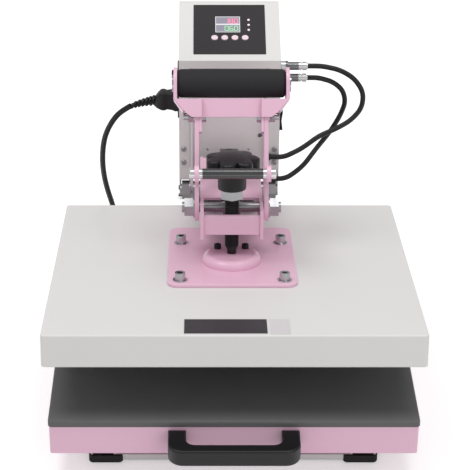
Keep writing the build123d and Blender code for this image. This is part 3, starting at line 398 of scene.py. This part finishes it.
top = pad_high[2]
levels = [(1.0, pad_low[2]), (0.0, pad_low[2] + 0.9), (0.0, top - pad_round)]
levels += [
    (pad_round * (1 - cos(a)), top - crown - pad_round * (1 - sin(a)))
    for a in (0.4, 0.8, 1.2, pi / 2)
]
levels += [(d, top - crown * (1 - d / crown_reach) ** 2) for d in (10, 25, 45, 60)]
levels += [(120, top), (170, top)]
pad = skin("silicone_sheet", [pad_ring(i, h) for i, h in levels])
place(pad, "tray_carriage", "grey_silicone", "silicone_pad", angle=60)

# %% [markdown]
# ## Figures on the display
# Each figure of the display is made of seven bars. The upper window shows the temperature in
# red and the lower one the time in green. The bars are thin raised tiles, so they are real shapes.

# %% Frame of the control panel
panel_lean = radians(20)
panel_origin = Vector((0, rails_front + 397.0, 296.0))
panel_up = Vector((0, cos(panel_lean), sin(panel_lean)))
panel_out = Vector((0, -sin(panel_lean), cos(panel_lean)))


def on_panel(x, v, w):
    """A point x across, v up along and w out from the sloping panel, in metres."""
    return (panel_origin + Vector((x, 0, 0)) + panel_up * v + panel_out * w) * MM


print("the panel starts at", [round(v, 4) for v in on_panel(0, 0, 0)])


# %% Build the figures from bars
bars = {"a": (0, 1, 0), "b": (.5, .5, 1), "c": (.5, -.5, 1), "d": (0, -1, 0),
        "e": (-.5, -.5, 1), "f": (-.5, .5, 1), "g": (0, 0, 0)}
lit = {"1": "bc", "8": "abcdefg", "0": "abcdef", "6": "acdefg"}
figure_wide, figure_high, figure_gap, first_figure_x = 4.0, 8.0, 1.8, -3.4
display_face, bar_half, bar_thick, bar_sunk, bar_gap = 0.7, 0.42, 0.06, 0.3, 0.12


def figures(name, text, v_mid):
    """A row of figures whose middle is v_mid up the panel."""
    points, faces = [], []
    for place_number, figure in enumerate(text):
        x_mid = first_figure_x + place_number * (figure_wide + figure_gap)
        for bar in lit[figure]:
            dx, dv, upright = bars[bar]
            cx, cv = x_mid + dx * figure_wide, v_mid + dv * figure_high / 2
            long = (figure_high / 2 if upright else figure_wide) / 2 - bar_gap
            tips = [(-long, 0), (-long + bar_half, bar_half), (long - bar_half, bar_half),
                    (long, 0), (long - bar_half, -bar_half), (-long + bar_half, -bar_half)]
            if upright:
                tips = [(v, u) for u, v in tips]
            at = len(points)
            for w in (display_face - bar_sunk, display_face + bar_thick):
                points += [on_panel(cx + u, cv + v, w) for u, v in tips]
            faces.append(tuple(range(at + 6, at + 12)))
            faces.append(tuple(reversed(range(at, at + 6))))
            faces += [(at + i, at + (i + 1) % 6, at + 6 + (i + 1) % 6, at + 6 + i)
                      for i in range(6)]
    piece = shape(name, points, faces)
    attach(piece, "base")
    print(name, text)
    return piece


red_figures = figures("temperature_figures", "180", 69.6)
green_figures = figures("time_figures", "060", 56.2)

# %% [markdown]
# ## Writing finishes as sums
# A finish is a small net of nodes. Drawn by hand it is hard to read, so we wrap each socket in a
# class that understands plus, minus, times and comparing: `0.3 + 0.1 * grain` then builds its own
# Math nodes. Any other node comes from one method that takes its type, settings and inputs.


# %% Sockets that can be added up
class Wire:
    """One output socket of a finish."""

    def __init__(self, finish, socket):
        self.finish, self.socket = finish, socket

    def sum(self, operation, first, second=0.0):
        return self.finish.node("Math", {"operation": operation}, {0: first, 1: second})

    def __add__(self, other):
        return self.sum("ADD", self, other)

    def __sub__(self, other):
        return self.sum("SUBTRACT", self, other)

    def __rsub__(self, other):
        return self.sum("SUBTRACT", other, self)

    def __mul__(self, other):
        return self.sum("MULTIPLY", self, other)

    def __gt__(self, other):
        return self.sum("GREATER_THAN", self, other)

    def __lt__(self, other):
        return self.sum("LESS_THAN", self, other)

    def __abs__(self):
        return self.sum("ABSOLUTE", self)

    __radd__, __rmul__ = __add__, __mul__


print("a Wire builds its own Math nodes")


# %% A finish and its nodes
def linear(red, green, blue):
    """A screen colour of 0 to 255 as the light that Blender works in."""
    return tuple(
        v / 12.92 if v <= 0.04045 else ((v + 0.055) / 1.055) ** 2.4
        for v in (red / 255, green / 255, blue / 255)
    ) + (1.0,)


def times(colour, factor):
    """The same colour, darker or lighter by a factor."""
    return tuple(c * factor for c in colour[:3]) + (1.0,)


class Finish:
    """A material of one Principled shader, with its uniform values set on the shader."""

    def __init__(self, name, **uniform):
        self.material = bpy.data.materials.new(name)
        self.material.use_nodes = True
        self.tree = self.material.node_tree
        self.shader = self.tree.nodes["Principled BSDF"]
        for key, value in uniform.items():
            self.shader.inputs[key.replace("_", " ")].default_value = value
        self.place = self.node("TexCoord", out="Object")

    def node(self, kind, settings=None, values=None, out=0):
        """Any node, from its type, its settings and the values or links of its sockets."""
        made = self.tree.nodes.new("ShaderNode" + kind)
        for key, value in (settings or {}).items():
            setattr(made, key, value)
        for key, value in (values or {}).items():
            if isinstance(value, Wire):
                self.tree.links.new(value.socket, made.inputs[key])
            else:
                made.inputs[key].default_value = value
        return Wire(self, made.outputs[out])

    def feed(self, **links):
        """Link what changes over the surface to the shader."""
        for key, value in links.items():
            socket = self.shader.inputs[key.replace("_", " ")]
            self.tree.links.new(value.socket, socket)

    def noise(self, scale, detail=2.0, stretch=(1, 1, 1), roughness=0.5):
        where = self.node("Mapping", {}, {"Vector": self.place, "Scale": stretch})
        return self.node("TexNoise", {}, {"Vector": where, "Scale": scale, "Detail": detail,
                                          "Roughness": roughness})

    def between(self, mask, first, second):
        """A colour that goes from first to second with the mask."""
        return self.node("Mix", {"data_type": "RGBA"}, {0: mask, 6: first, 7: second}, out=2)

    def bump(self, height, depth_mm, strength=0.6, edge_mm=None):
        values = {"Height": height, "Distance": depth_mm * MM, "Strength": strength}
        if edge_mm:
            values["Normal"] = self.node("Bevel", {"samples": 4}, {"Radius": edge_mm * MM})
        return self.node("Bump", {}, values)


print("mid grey of the screen is", round(linear(128, 128, 128)[0], 3), "in light")


# %% [markdown]
# ## Powder coat
# The white and the pink parts are powder coated. The powder melts into a skin with a faint
# orange peel, about a millimetre across, and its colour drifts very slightly. Folded sheet has
# no sharp edges, so a Bevel node rounds the light on them without touching the mesh.


# %% White and pink powder coat
def powder_coat(name, colour, drift, rough, edge_mm=0.7):
    """Powder coat: drift is how dark its broad cloudy patches get."""
    coat = Finish(name, Metallic=0.0, Coat_Weight=0.25, Coat_Roughness=0.2)
    peel = coat.noise(900, 3)
    broad = coat.noise(9, 2)
    coat.feed(
        Base_Color=coat.between(broad, colour, times(colour, drift)),
        Roughness=rough + 0.12 * coat.noise(60, 3),
        Normal=coat.bump(peel, 0.05, 0.35, edge_mm),
    )
    return coat


finishes = {
    "white_paint": powder_coat("white_paint", linear(225, 223, 222), 0.965, 0.42),
    "pink_paint": powder_coat("pink_paint", linear(235, 190, 213), 0.95, 0.28),
}
print("powder coats", list(finishes))

# %% [markdown]
# ## Metals
# Zinc plate is bright and slightly cloudy, with rolling lines. Chrome is a mirror with faint
# polishing. The oiled black screws are nearly black and half glossy. The cast heating plate is
# grey and finely pitted. Roughness carries most of this, because it decides what a metal shows.


# %% Bright and dark metals
def metal(name, colour, rough, spread, scale, stretch, depth, metallic=1.0):
    """Metal: stretch draws its grain out into lines, spread is how far its gloss varies."""
    plate = Finish(name, Metallic=metallic)
    grain = plate.noise(scale, 4, stretch, 0.6)
    cloud = plate.noise(26, 3)
    plate.feed(
        Base_Color=plate.between(cloud, colour, times(colour, 0.82)),
        Roughness=rough + spread * grain,
        Normal=plate.bump(grain, depth, 0.4, edge_mm=0.35),
    )
    return plate


finishes |= {
    "zinc_steel": metal("zinc_steel", linear(176, 176, 178), 0.2, 0.22, 320, (1, .12, 1), .03),
    "chrome": metal("chrome", linear(196, 196, 198), 0.08, 0.10, 500, (.15, 1, 1), .01),
    "black_steel": metal("black_steel", linear(44, 42, 43), 0.26, 0.2, 700, (1, 1, 1), .03,
                         metallic=0.6),
    "cast_aluminium": metal("cast_aluminium", linear(178, 178, 180), 0.42, 0.2, 800, (1, 1, 1),
                            .08),
}
print("with the metals", len(finishes), "finishes")

# %% [markdown]
# ## Rubber, foam, plastic and the rest
# Moulded plastic has a fine spark-eroded texture. Foam shows its cut cells, so a Voronoi pattern
# pushes small pits into it. Silicone is smooth and slightly dusty. Each is a base colour with a
# mottle, a roughness and a bump of the right size.


# %% Mottled non-metals
def moulded(name, colour, rough, scale, depth, lift=1.35, cells=False, edge_mm=None, **more):
    """A moulded or foamed stuff: lift is how light its mottle gets, cells gives it pits."""
    stuff = Finish(name, Metallic=0.0, **more)
    if cells:
        grain = stuff.node("TexVoronoi", {}, {"Vector": stuff.place, "Scale": scale})
    else:
        grain = stuff.noise(scale, 3, roughness=0.6)
    mottle = 0.5 * stuff.noise(40, 3) + 0.4 * grain
    stuff.feed(
        Base_Color=stuff.between(mottle, colour, times(colour, lift)),
        Roughness=rough + 0.15 * grain,
        Normal=stuff.bump(grain, depth, 0.5, edge_mm),
    )
    return stuff


finishes |= {
    "glass_wool": moulded("glass_wool", linear(214, 200, 150), 0.85, 260, 0.6, 1.1),
    "grey_silicone": moulded("grey_silicone", linear(98, 97, 98), 0.6, 1300, 0.05, 1.2,
                             Specular_IOR_Level=0.25),
    "black_foam": moulded("black_foam", linear(33, 32, 34), 0.7, 1100, 0.18, 1.5, cells=True,
                          Specular_IOR_Level=0.35),
    "black_rubber": moulded("black_rubber", linear(24, 23, 24), 0.62, 700, 0.06,
                            Specular_IOR_Level=0.3),
    "black_plastic": moulded("black_plastic", linear(22, 21, 23), 0.30, 1500, 0.05, 1.3,
                             edge_mm=0.4, Specular_IOR_Level=0.35),
    "black_cable": moulded("black_cable", linear(22, 21, 23), 0.36, 500, 0.03, 1.25,
                           Specular_IOR_Level=0.35),
    "green_board": moulded("green_board", linear(28, 92, 54), 0.35, 420, 0.05, 1.5),
    "grey_button": moulded("grey_button", linear(238, 214, 222), 0.4, 900, 0.03, 1.04,
                           edge_mm=0.3),
}
print("finishes", len(finishes))

# %% [markdown]
# ## The control label and its windows
# The label is a dark polyester film. We leave its face bare. Round the two display windows runs
# a thin pale line, which is printed, so it is a mask worked out from the place on the panel.


# %% Masks on the panel
def panel_place(finish):
    """Where a point is across and up the panel, in millimetres."""
    local = finish.node("VectorMath", {"operation": "SUBTRACT"},
                        {0: finish.place, 1: tuple(panel_origin * MM)})
    across = finish.node("SeparateXYZ", {}, {0: local}) * 1000.0
    up = finish.node("VectorMath", {"operation": "DOT_PRODUCT"},
                     {0: local, 1: tuple(panel_up)}, out="Value") * 1000.0
    return across, up


def in_frame(across, up, x_mid, v_mid, half_wide, half_high):
    """1 inside a rectangle of the panel, 0 outside it."""
    wide = abs(across - x_mid) < half_wide
    return wide * (abs(up - v_mid) < half_high)


print("a place on the panel is measured from", [round(v, 1) for v in panel_origin], "mm")

# %% Finish of the label and its windows
label = Finish("black_label", Metallic=0.0, Specular_IOR_Level=0.2)
fine = label.noise(1400, 2)
label.feed(
    Base_Color=label.between(label.noise(14, 2), linear(50, 48, 50), linear(58, 56, 58)),
    Roughness=0.34 + 0.12 * fine,
    Normal=label.bump(fine, 0.02, 0.3),
)
finishes["black_label"] = label

glass = Finish("dark_glass", Metallic=0.0, Coat_Weight=0.4, Coat_Roughness=0.08)
across, up = panel_place(glass)
window_x, window_half = -2.0, 14.2
upper = in_frame(across, up, window_x, 70.6, window_half, 5.9)
lower = in_frame(across, up, window_x, 56.4, window_half, 6.1)
tint = glass.between(glass.noise(120, 2), linear(146, 143, 160), linear(158, 154, 168))
glass.feed(
    Base_Color=glass.between(upper + lower, linear(236, 236, 240), tint),
    Roughness=0.16 + 0.08 * glass.noise(500, 2),
)
finishes["dark_glass"] = glass
print("label and windows done")

# %% [markdown]
# ## Lamps and lit figures
# The small lamps are cast plastic lenses, and the figures shine through the display. Both get a
# weak glow of their own colour, so they look lit and still take the light of the room.


# %% Glow of the lamps and figures
def lamp(name, colour, glow):
    """A lens that glows a little in its own colour."""
    lens = Finish(name, Metallic=0.0, Emission_Strength=glow)
    spot = lens.noise(900, 2)
    pale = tuple(0.6 * c + 0.4 for c in colour[:3]) + (1.0,)
    shine = lens.between(0.4 * spot, colour, pale)
    lens.feed(Base_Color=shine, Emission_Color=shine, Roughness=0.2 + 0.1 * spot)
    return lens


finishes["lamp_plastic"] = lamp("lamp_plastic", linear(236, 214, 224), 0.25)
red_glow = lamp("red_figures", linear(244, 92, 140), 0.7)
green_glow = lamp("green_figures", linear(122, 206, 128), 0.7)
red_figures.data.materials.append(red_glow.material)
green_figures.data.materials.append(green_glow.material)
print("lamps and figures glow")

# %% [markdown]
# ## The two plates on the head
# On the front edge of the head are a dark plate and a pale one, both left bare. They are one
# node of the model, so one finish covers both and a mask on the sideways place tells them apart.

# %% Finish of the two head plates
pale_from = 35.5    # millimetres to the right of the middle
plates = Finish("head_plates", Metallic=0.0, Specular_IOR_Level=0.25)
sideways = plates.node("SeparateXYZ", {}, {0: plates.place}) * 1000.0
film = plates.noise(1200, 2)
dark_face = plates.between(plates.noise(16, 2), linear(50, 49, 52), linear(60, 58, 61))
pale_face = plates.between(plates.noise(16, 2), linear(205, 199, 202), linear(214, 210, 212))
plates.feed(
    Base_Color=plates.between(sideways > pale_from, dark_face, pale_face),
    Roughness=0.32 + 0.12 * film,
    Normal=plates.bump(film, 0.02, 0.3),
)
finishes_by_node = {"name_plates": plates}
print("the pale plate starts at x", pale_from, "mm")

# %% [markdown]
# ## A painted reflection and a banded metal
# The stop bar gets a painted reflection, dark between the plates of the lever where it mirrors the
# black knob and white at its polished ends where it mirrors the bright room. The cable plugs have
# a dull barrel between bright rings. Both patterns follow the sideways place.


# %% Stop bar and cable plugs
def banded(name, dark, bright, mask_of, rough):
    """A metal that is bright where the mask of the sideways place says so."""
    part = Finish(name, Metallic=1.0)
    x = part.node("SeparateXYZ", {}, {0: part.place}) * 1000.0
    mask = mask_of(x)
    part.feed(
        Base_Color=part.between(mask, dark, bright),
        Roughness=rough + 0.14 * part.noise(420, 3, (.15, 1, 1)),
        Normal=part.bump(mask, 0.35, 0.5),
    )
    return part


# Painted reflection on the stop bar: its dark grey middle stands for the mirrored black knob, and
# its near-white ends stand for the mirrored bright room.
painted_reflection_half, barrel_mid, barrel_half = 33.0, 76.0, 8.0
finishes_by_node["stop_bar"] = banded(
    "stop_bar_painted_reflection", linear(96, 96, 97), linear(225, 225, 226),
    lambda x: abs(x) > painted_reflection_half, 0.16)
finishes_by_node["cable_plugs"] = banded(
    "plug_steel", linear(124, 124, 126), linear(214, 214, 216),
    lambda x: abs(x - barrel_mid) > barrel_half, 0.2)
print("finishes of single nodes", list(finishes_by_node))

# %% [markdown]
# ## Put the finishes on
# Each node of the model names its material slot, and each slot has one finish here. The meshes
# themselves stay as the CAD made them.

# %% Assign every finish
for name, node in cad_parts.items():
    for slot in node.material_slots:
        wanted = slot.material.name.split(".")[0]
        slot.material = finishes_by_node.get(name, finishes[wanted]).material
for piece, slot_name in (
    (mains_lead, "black_cable"), (rod, "black_steel"), (foam, "black_foam"),
    (pad, "grey_silicone"), (connector, "black_plastic"), (knob, "black_plastic"),
):
    piece.data.materials.append(finishes[slot_name].material)
print("finished", len(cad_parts), "nodes")

# %% [markdown]
# ## Floor, light and background
# The photograph is a studio cut-out: a pure white ground with hardly a shadow. The floor takes
# the real shadow, and for the camera its plain areas are lifted to white. Two large soft lamps
# stand above the press and a weaker one in front of it. None stands behind it, where the
# sloping panel would mirror it.

# %% White floor that keeps the shadow
floor_mesh = bpy.data.meshes.new("floor")
reach, floor_z, floor_lift = 14.0, -0.0008, 0.42
corners = ((-reach, -reach), (reach, -reach), (reach, reach), (-reach, reach))
floor_mesh.from_pydata([(x, y, floor_z) for x, y in corners], [], [(0, 1, 2, 3)])
floor = bpy.data.objects.new("floor", floor_mesh)
bpy.context.collection.objects.link(floor)
ground = Finish("floor_white", Roughness=0.9, Base_Color=linear(232, 231, 231))
ground.shader.inputs["Specular IOR Level"].default_value = 0.1
path = ground.tree.nodes.new("ShaderNodeLightPath")
seen = Wire(ground, path.outputs["Is Camera Ray"]) + Wire(ground, path.outputs["Is Glossy Ray"])
seen = seen + Wire(ground, path.outputs["Is Transmission Ray"])
glow = ground.node("Emission", {}, {"Color": (1, 1, 1, 1), "Strength": floor_lift})
plain_floor = Wire(ground, ground.shader.outputs[0])
lifted = ground.node("AddShader", {}, {0: plain_floor, 1: glow})
floor_mix = ground.node("MixShader", {}, {0: seen, 1: plain_floor, 2: lifted})
out_node = ground.tree.nodes["Material Output"]
ground.tree.links.new(floor_mix.socket, out_node.inputs["Surface"])
floor_mesh.materials.append(ground.material)
print("floor", 2 * reach, "m wide")

# %% White world
sky_strength = 0.52
world = bpy.data.worlds.new("studio")
bpy.context.scene.world = world
world.use_nodes = True
tree = world.node_tree
path = tree.nodes.new("ShaderNodeLightPath")
sky, card = tree.nodes["Background"], tree.nodes.new("ShaderNodeBackground")
sky.inputs["Color"].default_value = (1, 1, 1, 1)
sky.inputs["Strength"].default_value = sky_strength
card.inputs["Color"].default_value = (1, 1, 1, 1)
mix = tree.nodes.new("ShaderNodeMixShader")
tree.links.new(path.outputs["Is Camera Ray"], mix.inputs[0])
tree.links.new(sky.outputs[0], mix.inputs[1])
tree.links.new(card.outputs[0], mix.inputs[2])
tree.links.new(mix.outputs[0], tree.nodes["World Output"].inputs["Surface"])
print("sky strength", sky_strength)


# %% Soft lamps
def soft_lamp(name, stand, aim, size, watts):
    """A round lamp at a place, turned to its aim; size is in metres."""
    light = bpy.data.lights.new(name, "AREA")
    light.shape, light.size, light.energy = "DISK", size, watts
    lamp_object = bpy.data.objects.new(name, light)
    bpy.context.collection.objects.link(lamp_object)
    lamp_object.location = stand
    lamp_object.rotation_euler = (Vector(aim) - Vector(stand)).to_track_quat("-Z", "Y").to_euler()
    print(name, watts, "W")


press_middle = (0, 0, 0.15)
soft_lamp("key", (-1.0, -0.2, 2.5), press_middle, 1.2, 20)
soft_lamp("fill", (1.2, -2.3, 0.9), press_middle, 1.8, 9)
soft_lamp("top", (0.6, -0.1, 2.6), (0, -0.05, 0.1), 1.4, 17)

# %% [markdown]
# ## Update the scene
# The dressed model must be as large as the CAD model. The last line updates the scene.

# %% Update the scene
bpy.context.view_layer.update()
